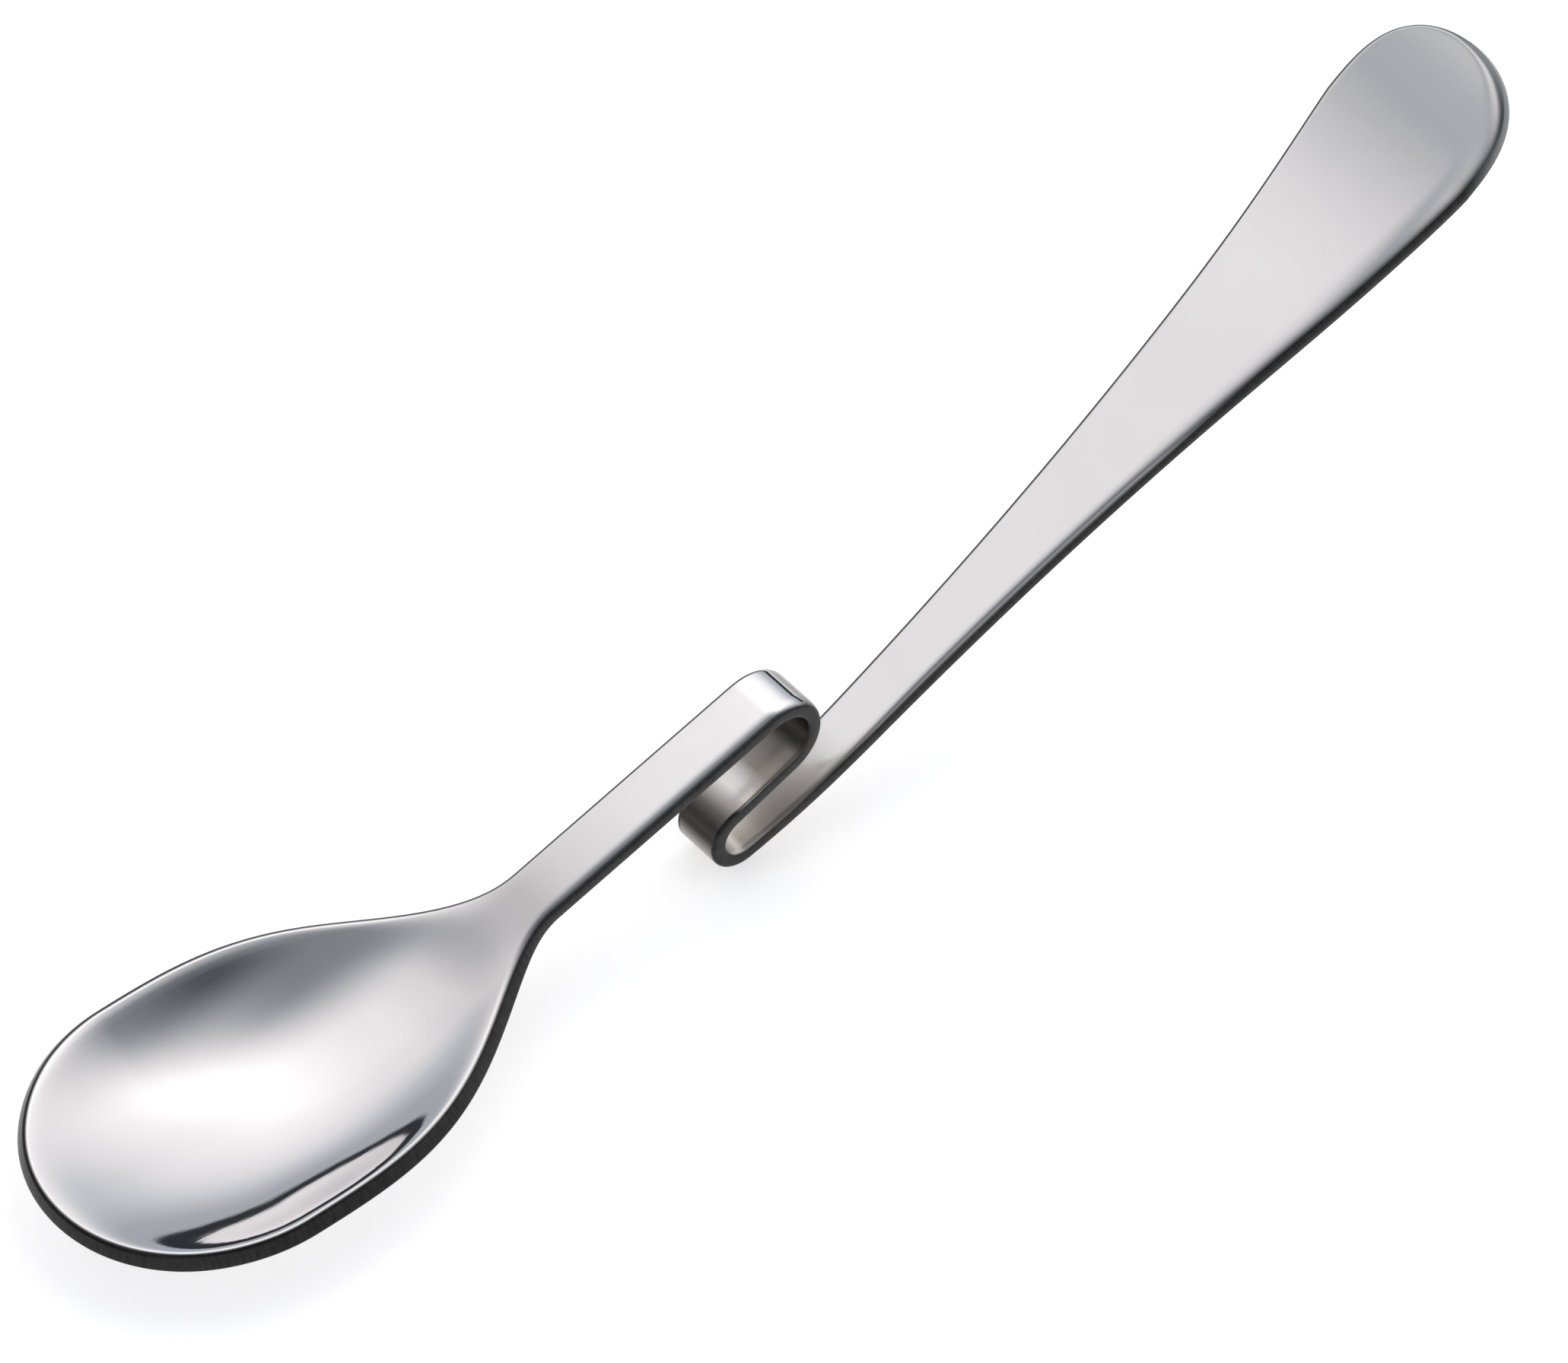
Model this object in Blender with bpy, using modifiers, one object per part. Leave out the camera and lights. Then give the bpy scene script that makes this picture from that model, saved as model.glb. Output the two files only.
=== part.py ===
# Jam spoon with a rim hook: one steel strip, stamped, dished into a bowl and bent twice into a hook.
# Metres, +Z up, bowl towards -X and handle towards +X, standing on the bowl and on the hook's lower bend.

import math

import bmesh
import bpy
import numpy as np

MM = 0.001

# Strip
THICKNESS = 1.58 * MM
EDGE_ROUND = 0.6 * MM
SHANK_HALF_WIDTH = 2.76 * MM
HANDLE_ROOT_HALF_WIDTH = 2.42 * MM

# Bowl outline, measured along the rim from the bowl's tip
BOWL_HALF_WIDTH = 14.9 * MM
BOWL_TIP_TO_WIDEST = 16.4 * MM
BOWL_TIP_TO_SHANK = 52.8 * MM
BOWL_TIP_ROUNDNESS = 1.97
NECK_SHOULDER = 2.96
NECK_FLARE = 2.2

# Bowl hollow
BOWL_DEPTH = 5.4 * MM
BOWL_TIP_TO_DEEPEST = 20.0 * MM
TIP_DEPTH_FADE = 1.18
NECK_DEPTH_FADE = 1.8

# Side profile of the upper face, from the bowl's tip to the handle's tip
RIM_LENGTH = 40.9 * MM
RIM_SAG = math.radians(3.0)
NECK_RADIUS = 17.0 * MM
NECK_LIFT = math.radians(17.7)
SHANK_LENGTH = 31.6 * MM
UPPER_LEAD_RADIUS = 8.4 * MM
UPPER_LEAD_TURN = math.radians(6.3)
JAR_GAP = 6.0 * MM
UPPER_BEND_TURN = math.radians(168.1)
MIDDLE_LEG_LENGTH = 7.15 * MM
LOWER_BEND_RADIUS = 1.96 * MM
LOWER_BEND_TURN = math.radians(171.0)
LOWER_LEAD_RADIUS = 61.0 * MM
LOWER_LEAD_TURN = math.radians(12.9)
HANDLE_STRAIGHT = 49.6 * MM
HANDLE_END_RADIUS = 132.0 * MM
HANDLE_END_TURN = math.radians(14.0)

# Handle outline, measured along the strip from the handle's tip
PADDLE_HALF_WIDTH = 8.77 * MM
PADDLE_TIP_TO_WIDEST = 10.9 * MM
PADDLE_TIP_ROUNDNESS = 3.0
HANDLE_FLARE_START = 2.47
HANDLE_FLARE_END = 1.19

# Mesh fineness
COLUMNS = 12
BOWL_TIP_ROWS = 12
BOWL_ROWS = 14
NECK_ROWS = 10
SHANK_ROWS = 3
LEAD_ROWS = 3
BEND_ROWS = 16
HANDLE_ROWS = 22
PADDLE_TIP_ROWS = 9
EDGE_SEGMENTS = 2

STEEL_COLOUR = (0.62, 0.62, 0.63, 1.0)
STEEL_ROUGHNESS = 0.12

# The side profile as a chain of arcs and straights: (length, turn), a positive turn bending upwards
UPPER_BEND_RADIUS = JAR_GAP / 2 + THICKNESS
PROFILE = [
    (RIM_LENGTH, -RIM_SAG),
    (NECK_RADIUS * NECK_LIFT, NECK_LIFT),
    (SHANK_LENGTH, 0.0),
    (UPPER_LEAD_RADIUS * UPPER_LEAD_TURN, -UPPER_LEAD_TURN),
    (UPPER_BEND_RADIUS * UPPER_BEND_TURN, -UPPER_BEND_TURN),
    (MIDDLE_LEG_LENGTH, 0.0),
    (LOWER_BEND_RADIUS * LOWER_BEND_TURN, LOWER_BEND_TURN),
    (LOWER_LEAD_RADIUS * LOWER_LEAD_TURN, LOWER_LEAD_TURN),
    (HANDLE_STRAIGHT, 0.0),
    (HANDLE_END_RADIUS * HANDLE_END_TURN, HANDLE_END_TURN),
]
JOINTS = np.concatenate([[0.0], np.cumsum([length for length, turn in PROFILE])])
LENGTH = JOINTS[-1]
HOOK_START = JOINTS[3]
HANDLE_ROOT = JOINTS[7]


def profile_point(along):
    """Side-view place and heading of the upper face at a distance from the bowl's tip."""
    x, z, heading = 0.0, 0.0, 0.0
    for start, (length, turn) in zip(JOINTS, PROFILE):
        run = min(max(along - start, 0.0), length)
        swing = turn * run / length
        chord = run if swing == 0.0 else run * math.sin(swing / 2) / (swing / 2)
        x += chord * math.cos(heading + swing / 2)
        z += chord * math.sin(heading + swing / 2)
        heading += swing
    return x, z, heading


def bowl_share(along):
    """How far the outline has opened from the shank to the bowl's full width, 0 to 1."""
    run = (along - BOWL_TIP_TO_WIDEST) / (BOWL_TIP_TO_SHANK - BOWL_TIP_TO_WIDEST)
    run = min(max(run, 0.0), 1.0)
    return (1 - run**NECK_SHOULDER) ** NECK_FLARE


def half_width(along):
    """Half the strip's width at a distance from the bowl's tip."""
    if along < BOWL_TIP_TO_WIDEST:
        reach = (BOWL_TIP_TO_WIDEST - along) / BOWL_TIP_TO_WIDEST
        return BOWL_HALF_WIDTH * math.sqrt(max(1 - reach**BOWL_TIP_ROUNDNESS, 0.0))
    if along < HOOK_START:
        return SHANK_HALF_WIDTH + (BOWL_HALF_WIDTH - SHANK_HALF_WIDTH) * bowl_share(along)
    if along < HANDLE_ROOT:
        run = (along - HOOK_START) / (HANDLE_ROOT - HOOK_START)
        return SHANK_HALF_WIDTH + (HANDLE_ROOT_HALF_WIDTH - SHANK_HALF_WIDTH) * run
    widest = LENGTH - PADDLE_TIP_TO_WIDEST
    if along < widest:
        run = (along - HANDLE_ROOT) / (widest - HANDLE_ROOT)
        share = 1 - (1 - run**HANDLE_FLARE_START) ** HANDLE_FLARE_END
        return HANDLE_ROOT_HALF_WIDTH + (PADDLE_HALF_WIDTH - HANDLE_ROOT_HALF_WIDTH) * share
    reach = (along - widest) / PADDLE_TIP_TO_WIDEST
    return PADDLE_HALF_WIDTH * math.sqrt(max(1 - reach**PADDLE_TIP_ROUNDNESS, 0.0))


def hollow_depth(along, across):
    """Depth of the dished upper face below the rim line."""
    width = half_width(along)
    if along >= BOWL_TIP_TO_SHANK or width == 0.0:
        return 0.0
    if along < BOWL_TIP_TO_DEEPEST:
        run, fade = 1 - along / BOWL_TIP_TO_DEEPEST, TIP_DEPTH_FADE
    else:
        run, fade = (along - BOWL_TIP_TO_DEEPEST) / (BOWL_TIP_TO_SHANK - BOWL_TIP_TO_DEEPEST), NECK_DEPTH_FADE
    return BOWL_DEPTH * max(1 - run**2, 0.0) ** fade * max(1 - (across / width) ** 2, 0.0)


def blank_rows():
    """Rows of the flat blank, from the bowl's tip to the handle's tip, as (zone, value) pairs."""
    widest = LENGTH - PADDLE_TIP_TO_WIDEST
    stops = [
        (BOWL_TIP_TO_WIDEST, RIM_LENGTH, BOWL_ROWS),
        (RIM_LENGTH, BOWL_TIP_TO_SHANK, NECK_ROWS),
        (BOWL_TIP_TO_SHANK, HOOK_START, SHANK_ROWS),
        (HOOK_START, JOINTS[4], LEAD_ROWS),
        (JOINTS[4], JOINTS[5], BEND_ROWS),
        (JOINTS[5], JOINTS[6], 1),
        (JOINTS[6], HANDLE_ROOT, BEND_ROWS),
        (HANDLE_ROOT, widest, HANDLE_ROWS),
    ]
    rows = [("bowl tip", 1 - k / BOWL_TIP_ROWS) for k in range(BOWL_TIP_ROWS)]
    for start, end, count in stops:
        rows += [("strip", start + (end - start) * k / count) for k in range(count)]
    rows += [("handle tip", k / PADDLE_TIP_ROWS) for k in range(PADDLE_TIP_ROWS + 1)]
    return rows


def blank_point(row, side):
    """Distance from the bowl's tip and from the centre line, on the flat blank; side runs from -1 to 1."""
    zone, value = row
    if zone == "strip":
        return value, side * half_width(value)
    # a round end: the last row lies on the outline, and the rows between ease from it to a straight one
    reach = value * math.sqrt(1 - side * side / 2)
    spread = side * math.sqrt(1 - value * value / 2)
    if zone == "bowl tip":
        reach = reach ** (2 / BOWL_TIP_ROUNDNESS)
        return BOWL_TIP_TO_WIDEST * (1 - reach), BOWL_HALF_WIDTH * spread
    reach = reach ** (2 / PADDLE_TIP_ROUNDNESS)
    return LENGTH - PADDLE_TIP_TO_WIDEST * (1 - reach), PADDLE_HALF_WIDTH * spread


def formed_point(along, across):
    """A point of the flat blank carried to its place on the dished and bent upper face."""
    x, z, heading = profile_point(along)
    drop = hollow_depth(along, across)
    return x + drop * math.sin(heading), across, z - drop * math.cos(heading)


def rest_tilt():
    """Turn that stands the bowl's underside and the lower bend on one level."""
    def underside(start, end):
        points = []
        for along in np.linspace(start, end, 200):
            x, z, heading = profile_point(along)
            drop = hollow_depth(along, 0.0) + THICKNESS
            points.append((x + drop * math.sin(heading), z - drop * math.cos(heading)))
        return np.array(points)

    bowl = underside(0.0, BOWL_TIP_TO_SHANK)
    bend = underside(JOINTS[6], JOINTS[8])
    tilt = 0.0
    for _ in range(40):
        up = np.array([math.sin(tilt), math.cos(tilt)])
        low_bowl = bowl[np.argmin(bowl @ up)]
        low_bend = bend[np.argmin(bend @ up)]
        tilt = -math.atan2(low_bend[1] - low_bowl[1], low_bend[0] - low_bowl[0])
    return tilt


def steel():
    material = bpy.data.materials.new("polished_steel")
    material.use_nodes = True
    shader = material.node_tree.nodes["Principled BSDF"]
    shader.inputs["Base Color"].default_value = STEEL_COLOUR
    shader.inputs["Metallic"].default_value = 1.0
    shader.inputs["Roughness"].default_value = STEEL_ROUGHNESS
    return material


def spoon_object():
    rows = blank_rows()
    sheet = bmesh.new()
    bmesh.ops.create_grid(sheet, x_segments=len(rows) - 1, y_segments=COLUMNS, size=1.0)
    for vertex in sheet.verts:
        row = rows[round((vertex.co.x + 1) / 2 * (len(rows) - 1))]
        vertex.co = formed_point(*blank_point(row, vertex.co.y))
    mesh = bpy.data.meshes.new("spoon")
    sheet.to_mesh(mesh)
    sheet.free()
    spoon = bpy.data.objects.new("spoon", mesh)
    spoon.data.materials.append(steel())

    shell = spoon.modifiers.new("thickness", "SOLIDIFY")
    shell.thickness = THICKNESS
    shell.offset = -1.0
    shell.use_even_offset = True
    rounding = spoon.modifiers.new("edge_round", "BEVEL")
    rounding.width = EDGE_ROUND
    rounding.segments = EDGE_SEGMENTS
    rounding.limit_method = "ANGLE"
    rounding.angle_limit = math.radians(50)
    return spoon


def stand(spoon, frame):
    """Tilt the spoon to its resting place and set its lowest point on the ground, centred on the origin."""
    frame.rotation_euler = (0.0, -rest_tilt(), 0.0)
    bpy.context.view_layer.update()
    shown = spoon.evaluated_get(bpy.context.evaluated_depsgraph_get())
    corners = np.array([shown.matrix_world @ vertex.co for vertex in shown.data.vertices])
    low, high = corners.min(axis=0), corners.max(axis=0)
    frame.location = (-(low[0] + high[0]) / 2, 0.0, -low[2])
    bpy.context.view_layer.update()


def main():
    for old in list(bpy.data.objects):
        bpy.data.objects.remove(old, do_unlink=True)
    collection = bpy.data.collections.new("jam_spoon")
    bpy.context.scene.collection.children.link(collection)
    frame = bpy.data.objects.new("spoon_frame", None)
    collection.objects.link(frame)
    spoon = spoon_object()
    collection.objects.link(spoon)
    spoon.parent = frame
    stand(spoon, frame)


main()
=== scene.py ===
import math

import bpy
import numpy as np
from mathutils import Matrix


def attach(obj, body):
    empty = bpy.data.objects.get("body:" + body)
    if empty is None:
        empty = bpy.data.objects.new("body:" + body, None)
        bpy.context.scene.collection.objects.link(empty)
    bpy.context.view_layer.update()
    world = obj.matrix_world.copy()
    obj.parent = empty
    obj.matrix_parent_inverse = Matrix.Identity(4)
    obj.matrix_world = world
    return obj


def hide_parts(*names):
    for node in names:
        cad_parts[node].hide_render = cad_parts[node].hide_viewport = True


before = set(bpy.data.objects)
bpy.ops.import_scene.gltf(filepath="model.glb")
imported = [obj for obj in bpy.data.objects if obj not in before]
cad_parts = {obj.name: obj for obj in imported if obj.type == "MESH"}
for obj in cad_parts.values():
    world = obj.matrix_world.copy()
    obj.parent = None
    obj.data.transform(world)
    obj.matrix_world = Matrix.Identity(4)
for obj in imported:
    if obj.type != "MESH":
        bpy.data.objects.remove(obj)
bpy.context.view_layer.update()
print("frame loaded")

mm = 0.001


def deselectAll():
    bpy.ops.object.select_all(action="DESELECT")


def setMode(mode):
    bpy.ops.object.mode_set(mode=mode)


# a node with its settings, then its inputs: a socket is linked, a value is set
def addNode(tree, kind, label, inputs=None, **settings):
    node = tree.nodes.new(kind)
    node.label = label
    for name, value in settings.items():
        setattr(node, name, value)
    for name, value in (inputs or {}).items():
        if isinstance(value, bpy.types.NodeSocket):
            tree.links.new(value, node.inputs[name])
        else:
            node.inputs[name].default_value = value
    return node


def mixNode(tree, label, share, first, second, kind="RGBA", blend="MIX"):
    inputs = {"Factor": share, "A": first, "B": second}
    return addNode(tree, "ShaderNodeMix", label, inputs, data_type=kind, blend_type=blend).outputs["Result"]


# a value brought from one span onto another
def spreadNode(tree, label, value, span, onto=(0.0, 1.0), kind="SMOOTHSTEP"):
    inputs = {"Value": value, "From Min": span[0], "From Max": span[1], "To Min": onto[0], "To Max": onto[1]}
    return addNode(tree, "ShaderNodeMapRange", label, inputs, interpolation_type=kind).outputs["Result"]


# camera, at the photo's view
view = {
    "place": (-0.430741, -0.513625, 0.746854),
    "turn": (42.5792, -0.2272, -39.7927),
    "lens": 262.0087,
    "sensor": 36.0,
    "clip": (0.01, 50.0),
}


def setCamera():
    deselectAll()
    bpy.ops.object.camera_add(location=view["place"], rotation=[math.radians(a) for a in view["turn"]])
    camera = bpy.context.active_object
    camera.name = "camera"
    camera.data.sensor_fit = "HORIZONTAL"
    camera.data.sensor_width = view["sensor"]
    camera.data.lens = view["lens"]
    camera.data.clip_start, camera.data.clip_end = view["clip"]
    bpy.context.scene.camera = camera


setCamera()
print("camera set")


# a smooth rise from 0 to 1
def rampUp(value, start, end):
    run = np.clip((value - start) / (end - start), 0.0, 1.0)
    return run * run * (3 - 2 * run)


def rampDown(value, start, end):
    return 1 - rampUp(value, start, end)


# a column of a table, whose first column is the place along the strip in mm
def tableAt(along, table, column=1):
    stops = np.array(table)
    return np.interp(along, stops[:, 0] * mm, stops[:, column])


# swells along the strip, added up: share, then in mm the start and end of its rise, and of its fall if it has one
def swellAt(along, swells):
    total = 0.0
    for share, start, full, *fall in swells:
        swell = share * rampUp(along, start * mm, full * mm)
        total = total + (swell * rampDown(along, fall[0] * mm, fall[1] * mm) if fall else swell)
    return total


# a round bend: radius in mm, turn in degrees
def bend(radius, turn):
    return radius * math.radians(abs(turn)), turn


# a lift in short arcs, gentle at both ends
def gentleLift(length, turn, steps):
    return [(length / steps, turn * (1 - math.cos(2 * math.pi * (k + 0.5) / steps)) / steps) for k in range(steps)]


# a curve that eases in or out of a straight, in short arcs: rate of turn in degrees per mm at its tighter end
def easedBend(length, rate, steps, easeIn):
    shares = [(k + 0.5) / steps if easeIn else 1 - (k + 0.5) / steps for k in range(steps)]
    return [(length / steps, rate * share * length / steps) for share in shares]


# the spoon: one steel strip, stamped, dished and bent
spoonShape = {
    "thickness": 1.58 * mm,
    "shankHalfWidth": 2.84 * mm,
    "handleRootHalfWidth": 2.5 * mm,
    "bowlHalfWidth": 14.98 * mm,
    "bowlTipToWidest": 16.4 * mm,
    "bowlTipToShank": 52.8 * mm,
    "bowlTipRoundness": 1.97,
    "bowlTipTrim": 0.36 * mm,
    "neckShoulder": 3.15,
    "neckFlare": 2.32,
    # the dish, outside and inside: depth, place of the deepest point, fade to tip and neck, fullness, lip at the rim
    "outside": {"depth": 5.4 * mm, "deepest": 20.0 * mm, "toTip": 1.18, "toNeck": 1.8, "fullness": 2.0, "lip": 0.0},
    "inside": {
        "depth": 5.06 * mm, "deepest": 20.6 * mm, "toTip": 1.07, "toNeck": 2.15, "fullness": 2.49, "lip": 0.65 * mm,
    },
    "paddleHalfWidth": 8.87 * mm,
    "paddleTipToWidest": 10.9 * mm,
    "paddleTipRoundness": 3.0,
    "handleFlareStart": 2.47,
    "handleFlareEnd": 1.19,
    # side view of the upper face, from the bowl's tip: length in mm, turn in degrees, up is positive
    "sideView": {
        "bowl": [(34.9, -2.56)],
        "neck": gentleLift(17.25, 17.26, 24),
        "shank": [(25.6, 0.0)],
        # lead, upper bend, leg, lower bend
        "hook": [bend(8.4, -6.3), bend(4.58, -168.1), (7.15, 0.0), bend(1.96, 171.0)],
        "handle": [
            (9.73, 9.14), *easedBend(8.0, 0.94, 8, False), (39.6, 0.0), *easedBend(12.0, 0.434, 8, True), (26.25, 11.4),
        ],
    },
    "restTilt": 1.8959294,
    "restPlace": (-79.63768 * mm, 0.0, 6.57836 * mm),
    # the strip stands a little aside, in mm: place along it, shift across
    "sideSet": [
        (0.0, -0.36), (5.0, -0.28), (10.0, -0.12), (16.0, -0.05), (100.0, -0.04), (118.0, -0.06), (185.0, -0.1),
    ],
    # rounded upper edges, in mm: place along the strip, reach across the face, reach down the side
    "nearRound": [
        (16.4, 0.45, 0.4), (40.0, 0.6, 0.42), (55.0, 1.1, 0.5), (84.0, 1.25, 0.5), (92.0, 0.5, 0.4), (108.0, 0.5, 0.4),
        (118.0, 0.72, 0.65), (126.0, 0.92, 0.9), (152.0, 1.25, 1.0), (166.0, 2.1, 0.8), (175.0, 2.65, 0.75),
        (189.8, 2.6, 0.7),
    ],
    "farRound": [(16.4, 0.45, 0.4), (40.0, 0.5, 0.4), (55.0, 0.5, 0.38), (189.8, 0.5, 0.38)],
    "roundBlend": (-1.0, -0.1),  # from the near edge's round to the far edge's, by lean across the strip, -1 to 1
    "lowerRound": {"across": 0.3 * mm, "down": 0.25 * mm},
    # rows of the blank: bowl tip, bowl, neck, shank, lead, bend, leg, bend, handle, handle tip
    "rows": [30, 50, 34, 22, 6, 56, 8, 56, 110, 26],
    "columns": 48,
    "upperRings": 9,
    "sideRings": 2,
    "lowerRings": 5,
    "slopeStep": 0.01 * mm,  # to either side, for the slope of the sheet
    "sameGap": 0.0001 * mm,
    "weldGap": 0.001 * mm,
}

sideRuns = spoonShape["sideView"]
sidePieces = [piece for run in sideRuns.values() for piece in run]
joints = np.concatenate([[0.0], np.cumsum([length * mm for length, turn in sidePieces])])
stripLength = joints[-1]
neckStart = joints[len(sideRuns["bowl"])]
beforeHook = len(sideRuns["bowl"]) + len(sideRuns["neck"]) + len(sideRuns["shank"])
hookStart, upperBendStart, upperBendEnd, lowerBendStart, handleRoot = joints[beforeHook : beforeHook + 5]
paddleWidest = stripLength - spoonShape["paddleTipToWidest"]
bowlTip, midStrip, handleTip = range(3)  # zones of the blank


def sideViewAt(along):
    x, z, heading = np.zeros_like(along), np.zeros_like(along), np.zeros_like(along)
    for start, (length, turn) in zip(joints, sidePieces):
        run = np.clip(along - start, 0.0, length * mm)
        swing = math.radians(turn) * run / (length * mm)
        chord = run * np.sinc(swing / 2 / math.pi)
        x = x + chord * np.cos(heading + swing / 2)
        z = z + chord * np.sin(heading + swing / 2)
        heading = heading + swing
    return x, z, heading


def halfWidthAt(along):
    s = spoonShape
    tipReach = np.clip((s["bowlTipToWidest"] - along) / s["bowlTipToWidest"], 0.0, 1.0)
    tip = s["bowlHalfWidth"] * np.sqrt(1 - tipReach ** s["bowlTipRoundness"])
    neckRun = np.clip((along - s["bowlTipToWidest"]) / (s["bowlTipToShank"] - s["bowlTipToWidest"]), 0.0, 1.0)
    share = (1 - neckRun ** s["neckShoulder"]) ** s["neckFlare"]
    neck = s["shankHalfWidth"] + (s["bowlHalfWidth"] - s["shankHalfWidth"]) * share
    hookRun = np.clip((along - hookStart) / (handleRoot - hookStart), 0.0, 1.0)
    hook = s["shankHalfWidth"] + (s["handleRootHalfWidth"] - s["shankHalfWidth"]) * hookRun
    flareRun = np.clip((along - handleRoot) / (paddleWidest - handleRoot), 0.0, 1.0)
    flare = 1 - (1 - flareRun ** s["handleFlareStart"]) ** s["handleFlareEnd"]
    handle = s["handleRootHalfWidth"] + (s["paddleHalfWidth"] - s["handleRootHalfWidth"]) * flare
    endReach = np.clip((along - paddleWidest) / s["paddleTipToWidest"], 0.0, 1.0)
    end = s["paddleHalfWidth"] * np.sqrt(1 - endReach ** s["paddleTipRoundness"])
    return np.select(
        [along < s["bowlTipToWidest"], along < hookStart, along < handleRoot, along < paddleWidest],
        [tip, neck, hook, handle],
        end,
    )


def hollowAt(along, across, dish):
    neck = spoonShape["bowlTipToShank"]
    toTip = np.clip(1 - along / dish["deepest"], 0.0, 1.0)
    toNeck = np.clip((along - dish["deepest"]) / (neck - dish["deepest"]), 0.0, 1.0)
    fall = (1 - toTip**2) ** dish["toTip"] * (1 - toNeck**2) ** dish["toNeck"]
    narrowest, pastRim = 0.001 * mm, 1.2  # keep the tips and the points off the outline in bounds
    out = np.clip(np.abs(across) / np.maximum(halfWidthAt(along), narrowest), 0.0, pastRim)
    plain = dish["depth"] * fall * (1 - out ** dish["fullness"])
    return np.sqrt(plain**2 + dish["lip"] ** 2) - dish["lip"] if dish["lip"] else plain


def dishedFace(along, across, dish):
    x, z, heading = sideViewAt(along)
    drop = hollowAt(along, across, spoonShape[dish])
    return np.stack([x + drop * np.sin(heading), across, z - drop * np.cos(heading)], axis=-1)


# a point of the strip at a depth below its upper face, square to the dished sheet
def stripPoint(along, across, depth):
    step = spoonShape["slopeStep"]
    ahead, behind = np.clip(along + step, 0.0, stripLength), np.clip(along - step, 0.0, stripLength)
    lengthways = dishedFace(ahead, across, "outside") - dishedFace(behind, across, "outside")
    sideways = dishedFace(along, across + step, "outside") - dishedFace(along, across - step, "outside")
    up = np.cross(lengthways, sideways)
    up /= np.linalg.norm(up, axis=-1, keepdims=True)
    share = (depth / spoonShape["thickness"])[..., None]
    inside, outside = dishedFace(along, across, "inside"), dishedFace(along, across, "outside")
    placed = inside * (1 - share) + outside * share - up * depth[..., None]
    tilt = math.radians(spoonShape["restTilt"])
    x = placed[..., 0] * math.cos(tilt) - placed[..., 2] * math.sin(tilt)
    y = placed[..., 1] + tableAt(along, spoonShape["sideSet"]) * mm
    z = placed[..., 0] * math.sin(tilt) + placed[..., 2] * math.cos(tilt)
    return np.stack([x, y, z], axis=-1) + np.array(spoonShape["restPlace"])


# rows of the blank: zone, and place along the strip, or at a tip the share of the way to its end
def blankRows():
    s = spoonShape
    counts = s["rows"]
    stops = [s["bowlTipToWidest"], neckStart, s["bowlTipToShank"], hookStart, upperBendStart, upperBendEnd]
    stops += [lowerBendStart, handleRoot, paddleWidest]
    zone, value = [bowlTip] * counts[0], list(1 - np.arange(counts[0]) / counts[0])
    for start, end, count in zip(stops, stops[1:], counts[1:]):
        zone += [midStrip] * count
        value += list(start + (end - start) * np.arange(count) / count)
    zone += [handleTip] * (counts[-1] + 1)
    value += list(np.arange(counts[-1] + 1) / counts[-1])
    return np.array(zone), np.array(value)


# reach of the rounded edge across the face and down the side, by the edge that a point leans to
def roundReach(along, lean):
    farShare = rampUp(lean, *spoonShape["roundBlend"])
    reaches = []
    for column in (1, 2):
        near = tableAt(along, spoonShape["nearRound"], column)
        far = tableAt(along, spoonShape["farRound"], column)
        reaches.append((near * (1 - farShare) + far * farShare) * mm)
    return reaches


def acrossAt(along, halfWidth, lean, inset):
    nearEdge = -halfWidth + inset * roundReach(along, -1.0)[0]
    farEdge = halfWidth - inset * roundReach(along, 1.0)[0]
    return nearEdge + (farEdge - nearEdge) * (lean + 1) / 2


# at a tip the rows and columns close in on a half disc
def tipLean(value, side):
    return side * np.sqrt(1 - np.clip(value, 0, 1) ** 2 / 2)


# place on the flat blank: inset 0 is the outline, 1 the start of the rounded edge
def blankPlace(zone, value, side, inset):
    s = spoonShape
    reach = np.clip(value, 0, 1) * np.sqrt(1 - side**2 / 2)
    lean = tipLean(value, side)
    bowlInset = s["bowlTipTrim"] + inset * roundReach(0.0, 1.0)[0]
    paddleInset = inset * roundReach(stripLength, 1.0)[0]
    tipAlong = s["bowlTipToWidest"] - (s["bowlTipToWidest"] - bowlInset) * reach ** (2 / s["bowlTipRoundness"])
    endAlong = paddleWidest + (s["paddleTipToWidest"] - paddleInset) * reach ** (2 / s["paddleTipRoundness"])
    tipAcross = acrossAt(s["bowlTipToWidest"], s["bowlHalfWidth"], lean, inset)
    endAcross = acrossAt(paddleWidest, s["paddleHalfWidth"], lean, inset)
    midAcross = acrossAt(value, halfWidthAt(value), side, inset)
    along = np.select([zone == bowlTip, zone == midStrip], [tipAlong, value], endAlong)
    across = np.select([zone == bowlTip, zone == midStrip], [tipAcross, midAcross], endAcross)
    return along, across


# rings of the edge, from the upper face over the round and down the side to the lower face
def edgeRings():
    s = spoonShape
    rings = [("round", math.pi / 2 * k / s["upperRings"]) for k in range(1, s["upperRings"] + 1)]
    rings += [("side", k / s["sideRings"]) for k in range(1, s["sideRings"] + 1)]
    rings += [("under", math.pi / 2 * k / s["lowerRings"]) for k in range(1, s["lowerRings"] + 1)]
    return rings + [("join", 0.0)]


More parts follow.
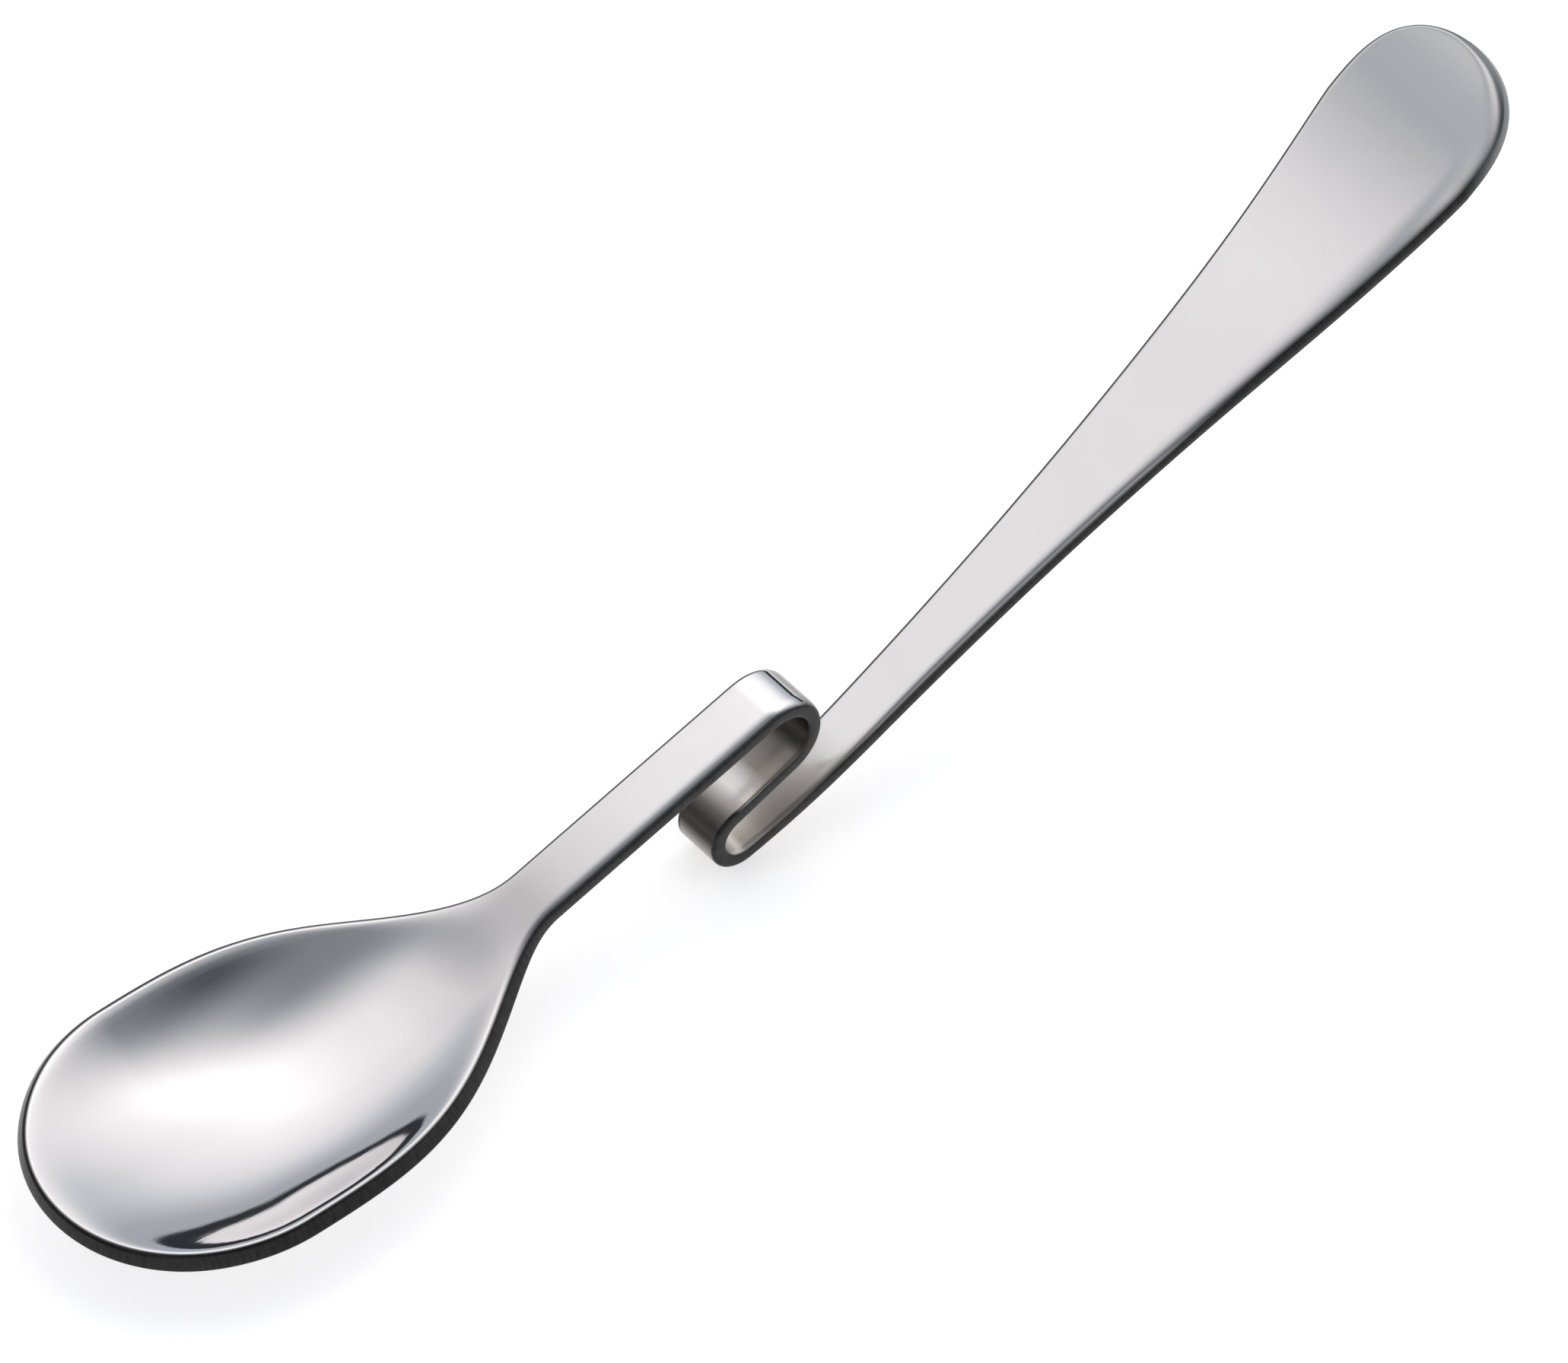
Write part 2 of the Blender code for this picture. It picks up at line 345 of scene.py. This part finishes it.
# one ring: share of the way in from the outline, depth, and edge mark, where 1 is square to the face
def ringAt(kind, step, reach, down):
    s, lower = spoonShape, spoonShape["lowerRound"]
    sideDepth = s["thickness"] - lower["down"]
    if kind == "round":
        mark = np.arctan2(down * math.sin(step), reach * math.cos(step)) / (math.pi / 2)
        return 1 - math.sin(step), down * (1 - math.cos(step)), mark
    if kind == "side":
        return 0.0, down + (sideDepth - down) * step, np.ones_like(down)
    if kind == "under":
        depth = np.full_like(down, sideDepth + lower["down"] * math.sin(step))
        return lower["across"] * (1 - math.cos(step)) / reach, depth, np.full_like(down, 1 - step / math.pi)
    return 1.0, np.full_like(down, s["thickness"]), np.zeros_like(down)


# for each vertex that an extrude has added, the grid vertex that it comes from
def grownFrom(mesh, source):
    before = len(source)
    ends = np.empty(len(mesh.edges) * 2, dtype=np.int32)
    mesh.edges.foreach_get("vertices", ends)
    ends = np.sort(ends.reshape(-1, 2), axis=1)
    link = ends[(ends[:, 0] < before) & (ends[:, 1] >= before)]
    grown = np.full(len(mesh.vertices) - before, -1)
    grown[link[:, 1] - before] = source[link[:, 0]]
    return grown


def setPlaces(mesh, points):
    mesh.vertices.foreach_set("co", points.astype(np.float32).ravel())
    mesh.update()


def readPlaces(mesh):
    found = np.empty(len(mesh.vertices) * 3, dtype=np.float32)
    mesh.vertices.foreach_get("co", found)
    return found.reshape(-1, 3).astype(float)


# points as whole steps of the same-place gap, to look up
def placeKeys(points):
    return [tuple(key) for key in np.rint(points / spoonShape["sameGap"]).astype(int).tolist()]


def makeSpoon():
    s = spoonShape
    zones, values = blankRows()
    rowCount, columns = len(zones), s["columns"]
    deselectAll()
    bpy.ops.mesh.primitive_grid_add(x_subdivisions=rowCount - 1, y_subdivisions=columns, size=2.0)
    spoon = bpy.context.active_object
    spoon.name = "spoonSteel"
    mesh = spoon.data

    flat = readPlaces(mesh)
    gridCount = len(flat)
    row = np.rint((flat[:, 0] + 1) / 2 * (rowCount - 1)).astype(int)
    side = np.clip(np.rint((flat[:, 1] + 1) / 2 * columns) / columns * 2 - 1, -1, 1)
    zone, value = zones[row], values[row]
    innerAlong, innerAcross = blankPlace(zone, value, side, 1.0)
    outerAlong, outerAcross = blankPlace(zone, value, side, 0.0)
    reach, down = roundReach(outerAlong, np.where(zone == midStrip, side, tipLean(value, side)))

    # every vertex: the grid vertex it comes from, its place on the blank, its depth and its edge mark
    zeros = np.zeros(gridCount)
    strip = {"source": np.arange(gridCount), "along": innerAlong, "across": innerAcross, "depth": zeros, "edge": zeros}

    def grow(**added):
        for name, more in added.items():
            strip[name] = np.concatenate([strip[name], more])
        setPlaces(mesh, stripPoint(strip["along"], strip["across"], strip["depth"]))

    setMode("EDIT")
    bpy.ops.mesh.select_mode(type="FACE")
    bpy.ops.mesh.select_all(action="SELECT")
    bpy.ops.mesh.region_to_loop()
    for kind, step in edgeRings():
        bpy.ops.mesh.extrude_edges_indiv()
        setMode("OBJECT")
        source = grownFrom(mesh, strip["source"])
        share, depth, edge = ringAt(kind, step, reach[source], down[source])
        along = outerAlong[source] + (innerAlong[source] - outerAlong[source]) * share
        across = outerAcross[source] + (innerAcross[source] - outerAcross[source]) * share
        grow(source=source, along=along, across=across, depth=depth, edge=edge)
        setMode("EDIT")

    # the lower face: the upper grid again, a thickness down
    bpy.ops.mesh.select_all(action="DESELECT")
    setMode("OBJECT")
    mesh.polygons.foreach_set("select", np.arange(len(mesh.polygons)) < (rowCount - 1) * columns)
    setMode("EDIT")
    bpy.ops.mesh.duplicate()
    bpy.ops.mesh.flip_normals()
    setMode("OBJECT")
    copied = readPlaces(mesh)[len(strip["source"]) :]
    upper = stripPoint(innerAlong, innerAcross, zeros).astype(np.float32).astype(float)
    lookup = {key: k for k, key in enumerate(placeKeys(upper))}
    twin = np.array([lookup[key] for key in placeKeys(copied)])
    below = np.full(len(twin), s["thickness"])
    grow(source=twin, along=innerAlong[twin], across=innerAcross[twin], depth=below, edge=zeros[twin])

    for name, shares in steelMarksAndPaintedShade(strip).items():
        layer = mesh.attributes.new(name, "FLOAT", "POINT")
        layer.data.foreach_set("value", shares.astype(np.float32))
    layer = mesh.attributes.new("stripPlace", "FLOAT_VECTOR", "POINT")
    stripPlace = np.stack([strip["along"], strip["across"], strip["depth"]], axis=-1)
    layer.data.foreach_set("vector", stripPlace.astype(np.float32).ravel())

    setMode("EDIT")
    bpy.ops.mesh.select_all(action="SELECT")
    bpy.ops.mesh.remove_doubles(threshold=s["weldGap"])
    bpy.ops.mesh.normals_make_consistent(inside=False)
    setMode("OBJECT")
    bpy.ops.object.shade_smooth()
    return spoon


# mirror-polished stainless steel; painted shade makes its stamped edges near black and its hook's inside dark, both
# also rougher, and a painted reflection level makes it lighter or darker along the strip
steelAndPaintedShade = {
    "polished": (0.708, 0.688, 0.694, 1.0),
    "handled": (0.64, 0.636, 0.645, 1.0),
    # painted shade: the cut edges are painted near black, with a grained second dark
    "edge": (0.014, 0.014, 0.015, 1.0),
    "paintedEdgeGrain": (0.048, 0.047, 0.046, 1.0),
    # painted reflection: the cut edge lighter grey near the handle's end
    "paintedEndReflection": (0.19, 0.2, 0.205, 1.0),
    # painted shade: dark brown inside the hook
    "inside": (0.04, 0.036, 0.031, 1.0),
    "dullTint": (1.0, 0.96, 0.885, 1.0),
    "polishedRoughness": (0.035, 0.06),
    "edgeRoughness": 0.32,
    "insideRoughness": 0.38,
    # fine marks: noise per metre along, across and down the strip, and its detail
    "fineMarks": {
        "Cloud": ("handling cloud", (90.0, 90.0, 90.0), 3.0),
        "Height": ("wheel hairs", (160.0, 5200.0, 0.0), 2.0),
        "Grain": ("press grain", (2600.0, 2600.0, 700.0), 3.0),
    },
    "cloudSpan": (0.3, 0.7),
    "hairBump": {"Strength": 0.02, "Distance": 0.1 * mm},
    "edgeTurn": (0.1, 0.48),  # from face to the painted dark cut edge, by the edge mark
    "endReflectionSpan": (11.0 * mm, 4.0 * mm),  # the cut edge is painted lighter grey, a painted reflection, rising from here to here off the handle's end
    # the painted dark of the cut edge reaches in sooner or later along the strip: share, rise and fall in mm
    "nearTurn": [(0.7, 152.0, 172.0), (-0.3, 108.0, 122.0), (-0.42, 101.0, 104.0, 109.0, 116.0)],
    "farTurn": [(0.6, 40.0, 60.0)],
    # less painted dark on the leg's cut edge below the side: share, then in mm its rise and fall
    "legEdge": [(0.6, 86.0, 90.0, 98.0, 100.0)],
    "legEdgeBelow": 0.1 * mm,  # under the side, where the lower round starts
    "lowerFace": (0.2 * mm, 0.95 * spoonShape["thickness"]),  # from upper to lower face, by depth
    # dull inside the hook: lead before it, fade and end after it, which is further off along the near edge
    "dull": {
        "lead": 9.0 * mm, "fade": 7.0 * mm, "end": 12.5 * mm, "further": 7.0 * mm, "nearEdge": (1.2 * mm, 2.0 * mm),
    },
    # painted light on the leg: less dull and less warm-tinted on its lower face, by place before the lower bend
    "legBright": {"rise": (-4.5 * mm, -3.0 * mm), "fall": (-1.5 * mm, 0.0), "share": 0.65},
    # painted shade: how dark the hook is painted by place along the strip, in mm, on its lower and its upper face
    "hookUnder": [
        (77.2, 0.0), (80.7, 0.8), (83.2, 1.0), (88.9, 1.0), (90.6, 0.85), (92.3, 0.76), (94.2, 0.63), (95.1, 0.57),
        (95.5, 0.3), (96.3, 0.02), (97.6, 0.0), (98.4, 0.31), (99.1, 0.49), (99.6, 0.8), (100.1, 0.87), (100.5, 0.93),
        (100.9, 1.0), (101.1, 0.99), (101.5, 0.78), (102.0, 0.46), (102.9, 0.25), (105.1, 0.0),
    ],
    "hookUpper": [
        (92.0, 0.0), (97.0, 0.5), (101.0, 0.5), (103.5, 0.1), (104.5, 0.0), (105.6, 0.04), (106.5, 0.13), (107.6, 0.43),
        (109.2, 0.55), (110.5, 0.55), (111.7, 0.5), (113.3, 0.36), (114.6, 0.06), (115.6, 0.0),
    ],
    # painted light patch: less painted shade on the leg towards the near edge
    "legLight": [(0.36, 90.0, 92.0, 94.5, 96.0)],
    "legLightEdge": (0.5 * mm, 2.0 * mm),
    # painted reflection level, a factor on the colour by place along the strip, in mm: painted darker at the neck,
    # brightest over the upper bend
    "paintedReflectionLevel": [
        (36.0, 1.0), (40.0, 0.91), (43.0, 0.81), (47.0, 0.79), (50.5, 0.7), (52.0, 0.7), (54.0, 0.8), (56.0, 0.89),
        (60.0, 0.98), (64.0, 1.07), (74.0, 1.1), (78.5, 1.17), (81.4, 1.17), (82.6, 0.28), (86.0, 0.24), (92.0, 1.0),
        (95.5, 1.0), (96.3, 1.12), (97.5, 1.2), (98.2, 1.1), (99.0, 1.0),
    ],
    "paintedLevelFarFade": {"share": 0.85, "farEdge": (1.0 * mm, 4.5 * mm)},  # the painted level fades out towards the far edge
}


# marks for the steel and its painted shade: painted dark stamped edge, dull and painted dark inside of the hook,
# painted reflection level along the strip
def steelMarksAndPaintedShade(strip):
    f, s = steelAndPaintedShade, spoonShape
    along, across, depth = strip["along"], strip["across"], strip["depth"]
    lowerShare = rampUp(depth, *f["lowerFace"])

    dull, legBright = f["dull"], f["legBright"]
    dullEnd = handleRoot + dull["end"] + dull["further"] * rampUp(-across, *dull["nearEdge"])
    dullRun = rampUp(along, hookStart - dull["lead"], hookStart) * rampDown(along, handleRoot + dull["fade"], dullEnd)
    dullRun = dullRun * np.maximum(lowerShare, rampUp(along, upperBendEnd, lowerBendStart))
    # painted light on the leg: less dull and less warm-tinted on its lower face before the lower bend
    fromBend = along - lowerBendStart
    legBrightShare = rampUp(fromBend, *legBright["rise"]) * rampDown(fromBend, *legBright["fall"])
    dullRun = dullRun * (1 - legBright["share"] * legBrightShare * lowerShare)

    # painted shade: the cut edge's dark, spread further in on some stretches and held back on the leg below the side
    turn = np.where(across < 0, swellAt(along, f["nearTurn"]), swellAt(along, f["farTurn"]))
    below = depth > s["thickness"] - s["lowerRound"]["down"] + f["legEdgeBelow"]
    edge = strip["edge"] * (1 + turn) * (1 - swellAt(along, f["legEdge"]) * below)

    # painted shade inside the hook, on its lower and upper face, eased by a painted light patch on the leg
    nearLight = swellAt(along, f["legLight"]) * rampUp(-across, *f["legLightEdge"])
    under = tableAt(along, f["hookUnder"]) * lowerShare * (1 - nearLight)
    inside = under + tableAt(along, f["hookUpper"]) * (1 - lowerShare)

    # painted reflection level along the strip, faded out towards the far edge
    uneven = 1 - f["paintedLevelFarFade"]["share"] * rampUp(across, *f["paintedLevelFarFade"]["farEdge"])
    polish = 1 + (tableAt(along, f["paintedReflectionLevel"]) - 1) * uneven
    return {"paintedDarkEdge": edge, "hookDull": dullRun, "hookPaintedShade": inside, "paintedReflectionLevel": polish}


def makeFineMarks():
    group = bpy.data.node_groups.new("fineMarks", "ShaderNodeTree")
    group.interface.new_socket("Place", in_out="INPUT", socket_type="NodeSocketVector")
    for name in steelAndPaintedShade["fineMarks"]:
        group.interface.new_socket(name, in_out="OUTPUT", socket_type="NodeSocketFloat")
    place = group.nodes.new("NodeGroupInput").outputs["Place"]
    end = group.nodes.new("NodeGroupOutput")
    for name, (label, perMetre, detail) in steelAndPaintedShade["fineMarks"].items():
        stretch = addNode(group, "ShaderNodeVectorMath", label, {0: place, 1: perMetre}, operation="MULTIPLY")
        inputs = {"Vector": stretch.outputs["Vector"], "Scale": 1.0, "Detail": detail}
        group.links.new(addNode(group, "ShaderNodeTexNoise", label, inputs).outputs["Fac"], end.inputs[name])
    return group


def makeSteel():
    f = steelAndPaintedShade
    material = bpy.data.materials.new("polishedSteelWithPaintedShade")
    material.use_nodes = True
    tree = material.node_tree

    def mark(name, output="Fac"):
        return addNode(tree, "ShaderNodeAttribute", name, attribute_name=name).outputs[output]

    place, dull = mark("stripPlace", "Vector"), mark("hookDull")
    fine = addNode(tree, "ShaderNodeGroup", "fine marks", {"Place": place}, node_tree=makeFineMarks()).outputs
    # share of the painted dark on the cut edge, which also sets its satin roughness
    edgeShare = spreadNode(tree, "edge share", mark("paintedDarkEdge"), f["edgeTurn"])

    shine = mixNode(tree, "handled or wiped", fine["Cloud"], f["polished"], f["handled"])
    # painted reflection level: the colour scaled lighter or darker along the strip
    inputs = {0: shine, "Scale": mark("paintedReflectionLevel")}
    levelPainted = addNode(tree, "ShaderNodeVectorMath", "painted reflection level", inputs, operation="SCALE").outputs["Vector"]
    warm = mixNode(tree, "warmer where dull", dull, levelPainted, f["dullTint"], blend="MULTIPLY")
    # painted shade: the hook's inside mixed towards dark brown
    face = mixNode(tree, "inside or polished", mark("hookPaintedShade"), warm, f["inside"])

    along = addNode(tree, "ShaderNodeSeparateXYZ", "along the strip", {"Vector": place}).outputs["X"]
    # painted shade on the cut edge: near black with grain, painted lighter towards the handle's end as a painted
    # reflection
    endShare = spreadNode(tree, "towards the handle's end", along, [stripLength - off for off in f["endReflectionSpan"]])
    grainedDarkEdge = mixNode(tree, "press grain", fine["Grain"], f["edge"], f["paintedEdgeGrain"])
    cut = mixNode(tree, "edge, painted lighter at the end", endShare, grainedDarkEdge, f["paintedEndReflection"])
    colour = mixNode(tree, "edge or face", edgeShare, face, cut)

    rough = spreadNode(tree, "cloudy polish", fine["Cloud"], f["cloudSpan"], f["polishedRoughness"], "LINEAR")
    rough = mixNode(tree, "duller inside", dull, rough, f["insideRoughness"], "FLOAT")
    rough = mixNode(tree, "satin edge", edgeShare, rough, f["edgeRoughness"], "FLOAT")
    hairs = addNode(tree, "ShaderNodeBump", "wheel hairs", {"Height": fine["Height"], **f["hairBump"]})

    shader = tree.nodes["Principled BSDF"]
    shader.inputs["Metallic"].default_value = 1.0
    tree.links.new(colour, shader.inputs["Base Color"])
    tree.links.new(rough, shader.inputs["Roughness"])
    tree.links.new(hairs.outputs["Normal"], shader.inputs["Normal"])
    return material


spoon = makeSpoon()
spoon.data.materials.append(makeSteel())
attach(spoon, "root")
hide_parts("spoon")
print("spoon made,", len(spoon.data.polygons), "faces")


# studio: a white floor, a bright panel on the handle's side, a softer one on the bowl's side, dark at the camera
studio = {
    "floorSize": 60.0,
    "floorColour": (0.87, 0.86, 0.855, 1.0),
    "floorGlow": 0.46,
    # light by height (the sine of elevation) on the handle's side, and by x and by height on the bowl's side
    "panelRise": [
        (0.0, 0.6), (0.185, 0.6), (0.26, 0.62), (0.34, 0.74), (0.5, 1.08), (0.72, 1.37), (0.9, 1.88), (1.0, 1.88),
    ],
    "panelEdge": (-0.21, 0.34),
    "sideSpan": (-1.0, 0.02),
    "sideFall": [
        (-1.0, 0.3), (-0.78, 0.5), (-0.68, 0.95), (-0.61, 0.87), (-0.565, 0.66), (-0.53, 0.63), (-0.47, 0.85),
        (-0.408, 1.07), (-0.344, 1.17), (-0.28, 1.17), (-0.18, 0.77), (-0.1, 0.98), (-0.04, 1.08), (0.02, 0.95),
    ],
    "sideRise": [(0.0, 0.58), (0.44, 0.6), (0.62, 1.0), (1.0, 1.0)],
    # a dark table edge near the horizon: its height by x
    "lowDark": {
        "top": [(0.0, 0.16), (0.12, 0.085), (0.24, 0.095), (0.34, 0.155), (0.5, 0.16), (0.62, 0.13), (1.0, 0.12)],
        "soft": 0.03,
        "share": 0.92,
    },
    "overhead": {"share": 0.64, "reach": 0.35},
    # angles in degrees, down from straight up towards the camera, and to its sides
    "cameraSide": {"azimuth": -80.8, "width": 40.2, "fade": (-11.2, 31.7), "share": 0.98},
    "lowFill": {"fade": (35.0, 52.0), "level": 0.8},
    "rampTop": 2.0,
    # colour of the light by its level: cool in the dark, a little warm in the bright panels
    "lightColour": [
        (0.0, (0.84, 0.92, 1.0)), (0.45, (0.87, 0.93, 1.0)), (0.75, (0.96, 0.972, 1.0)),
        (0.98, (0.985, 0.982, 0.995)), (1.12, (1.0, 0.982, 0.984)), (2.0, (1.0, 1.0, 1.0)),
    ],
    # cooler light low down
    "lowColour": (0.955, 0.977, 1.0, 1.0),
    "highColour": (1.0, 1.0, 1.0, 1.0),
    "lowColourFade": (0.4, 0.72),
}


def makeFloor():
    deselectAll()
    bpy.ops.mesh.primitive_plane_add(size=studio["floorSize"], location=(0.0, 0.0, 0.0))
    floor = bpy.context.active_object
    floor.name = "floor"
    material = bpy.data.materials.new("whiteFloor")
    material.use_nodes = True
    tree = material.node_tree
    tree.nodes.clear()
    paint = addNode(tree, "ShaderNodeBsdfDiffuse", "floor paint", {"Color": studio["floorColour"]})
    rays = addNode(tree, "ShaderNodeLightPath", "rays").outputs
    seen = rays["Is Camera Ray"]
    for other in ("Is Glossy Ray", "Is Transmission Ray"):
        seen = addNode(tree, "ShaderNodeMath", "eye, mirror or glass", {0: seen, 1: rays[other]}, operation="MAXIMUM")
        seen = seen.outputs["Value"]
    level = addNode(tree, "ShaderNodeMath", "level", {0: seen, 1: studio["floorGlow"]}, operation="MULTIPLY")
    glow = addNode(tree, "ShaderNodeEmission", "white to the eye", {"Strength": level.outputs["Value"]})
    both = addNode(tree, "ShaderNodeAddShader", "both", {0: paint.outputs["BSDF"], 1: glow.outputs["Emission"]})
    addNode(tree, "ShaderNodeOutputMaterial", "out", {"Surface": both.outputs["Shader"]})
    floor.data.materials.append(material)


def makeStudioLight():
    world = bpy.data.worlds.new("studio")
    bpy.context.scene.world = world
    world.use_nodes = True
    tree = world.node_tree
    tree.nodes.clear()
    towards = addNode(tree, "ShaderNodeTexCoord", "direction").outputs["Generated"]
    parts = addNode(tree, "ShaderNodeSeparateXYZ", "parts", {"Vector": towards}).outputs
    x, height = parts["X"], parts["Z"]
    rampTop = studio["rampTop"]
    whole = (0.0, 1.0)

    def maths(operation, label, *values):
        return addNode(tree, "ShaderNodeMath", label, dict(enumerate(values)), operation=operation).outputs["Value"]

    def rampNode(label, share, stops):
        ramp = addNode(tree, "ShaderNodeValToRGB", label, {"Fac": share})
        points = ramp.color_ramp.elements
        while len(points) < len(stops):
            points.new(1.0)
        for point, (position, colour) in zip(points, stops):
            point.position = position
            point.color = (*colour, 1.0)
        return ramp.outputs["Color"]

    def levels(label, value, stops, span):
        shades = [((place - span[0]) / (span[1] - span[0]), (level / rampTop,) * 3) for place, level in stops]
        ramp = rampNode(label, spreadNode(tree, label, value, span, kind="LINEAR"), shades)
        return maths("MULTIPLY", label, ramp, rampTop)

    def towardsAzimuth(label, azimuth):
        turn = math.radians(azimuth)
        line = {0: towards, 1: (math.cos(turn), math.sin(turn), 0.0)}
        return addNode(tree, "ShaderNodeVectorMath", label, line, operation="DOT_PRODUCT").outputs["Value"]

    def angleSpread(label, angle, span):
        return spreadNode(tree, label, angle, [math.radians(degrees) for degrees in span])

    panel = levels("panel", height, studio["panelRise"], whole)
    side = levels("bowl's side", x, studio["sideFall"], studio["sideSpan"])
    side = maths("MULTIPLY", "bowl's side", side, levels("bowl's side, low", height, studio["sideRise"], whole))
    panelShare = spreadNode(tree, "panel's edge", x, studio["panelEdge"])
    light = mixNode(tree, "side and panel", panelShare, side, panel, "FLOAT")

    lowDark = studio["lowDark"]
    above = maths("SUBTRACT", "above the low dark", height, levels("low dark", x, lowDark["top"], whole))
    above = spreadNode(tree, "low dark", maths("DIVIDE", "above the low dark", above, lowDark["soft"]), whole)
    above = maths("MULTIPLY_ADD", "low dark", above, lowDark["share"], 1 - lowDark["share"])
    light = maths("MULTIPLY", "above the low dark", light, above)

    overhead = studio["overhead"]
    offTop = maths("SUBTRACT", "off overhead", 1.0, maths("MULTIPLY", "height squared", height, height))
    dim = maths("EXPONENT", "overhead", maths("MULTIPLY", "overhead", offTop, -1 / overhead["reach"] ** 2))
    light = maths("MULTIPLY", "dimmer overhead", light, maths("MULTIPLY_ADD", "overhead", dim, -overhead["share"], 1.0))

    camera = studio["cameraSide"]
    aside = maths("ARCSINE", "aside of the camera", towardsAzimuth("aside", camera["azimuth"] + 90.0))
    aside = maths("MULTIPLY", "aside of the camera", aside, 1 / math.radians(camera["width"]))
    aside = maths("MULTIPLY", "squared", maths("MULTIPLY", "squared", aside, aside), -1.0)
    aside = maths("EXPONENT", "aside of the camera", aside)
    lean = maths("ARCTAN2", "down to the camera", towardsAzimuth("in front", camera["azimuth"]), height)
    front = maths("MULTIPLY", "dark", aside, angleSpread("down to the camera", lean, camera["fade"]))
    light = maths("MULTIPLY", "studio light", light, maths("MULTIPLY_ADD", "dark", front, -camera["share"], 1.0))

    fill = studio["lowFill"]
    below = angleSpread("below the camera", lean, fill["fade"])
    light = maths("MULTIPLY_ADD", "studio light", below, fill["level"], light)

    stops = [(level / rampTop, colour) for level, colour in studio["lightColour"]]
    tone = rampNode("light colour", maths("DIVIDE", "share of the top level", light, rampTop), stops)
    highShare = spreadNode(tree, "cooler low down", height, studio["lowColourFade"])
    cool = mixNode(tree, "cooler low down", highShare, studio["lowColour"], studio["highColour"])
    colour = mixNode(tree, "light colour", 1.0, tone, cool, blend="MULTIPLY")
    glow = addNode(tree, "ShaderNodeBackground", "studio light", {"Color": colour, "Strength": light})
    addNode(tree, "ShaderNodeOutputWorld", "out", {"Surface": glow.outputs["Background"]})


makeFloor()
makeStudioLight()
bpy.context.scene.view_settings.view_transform = "Standard"
print("studio lit")
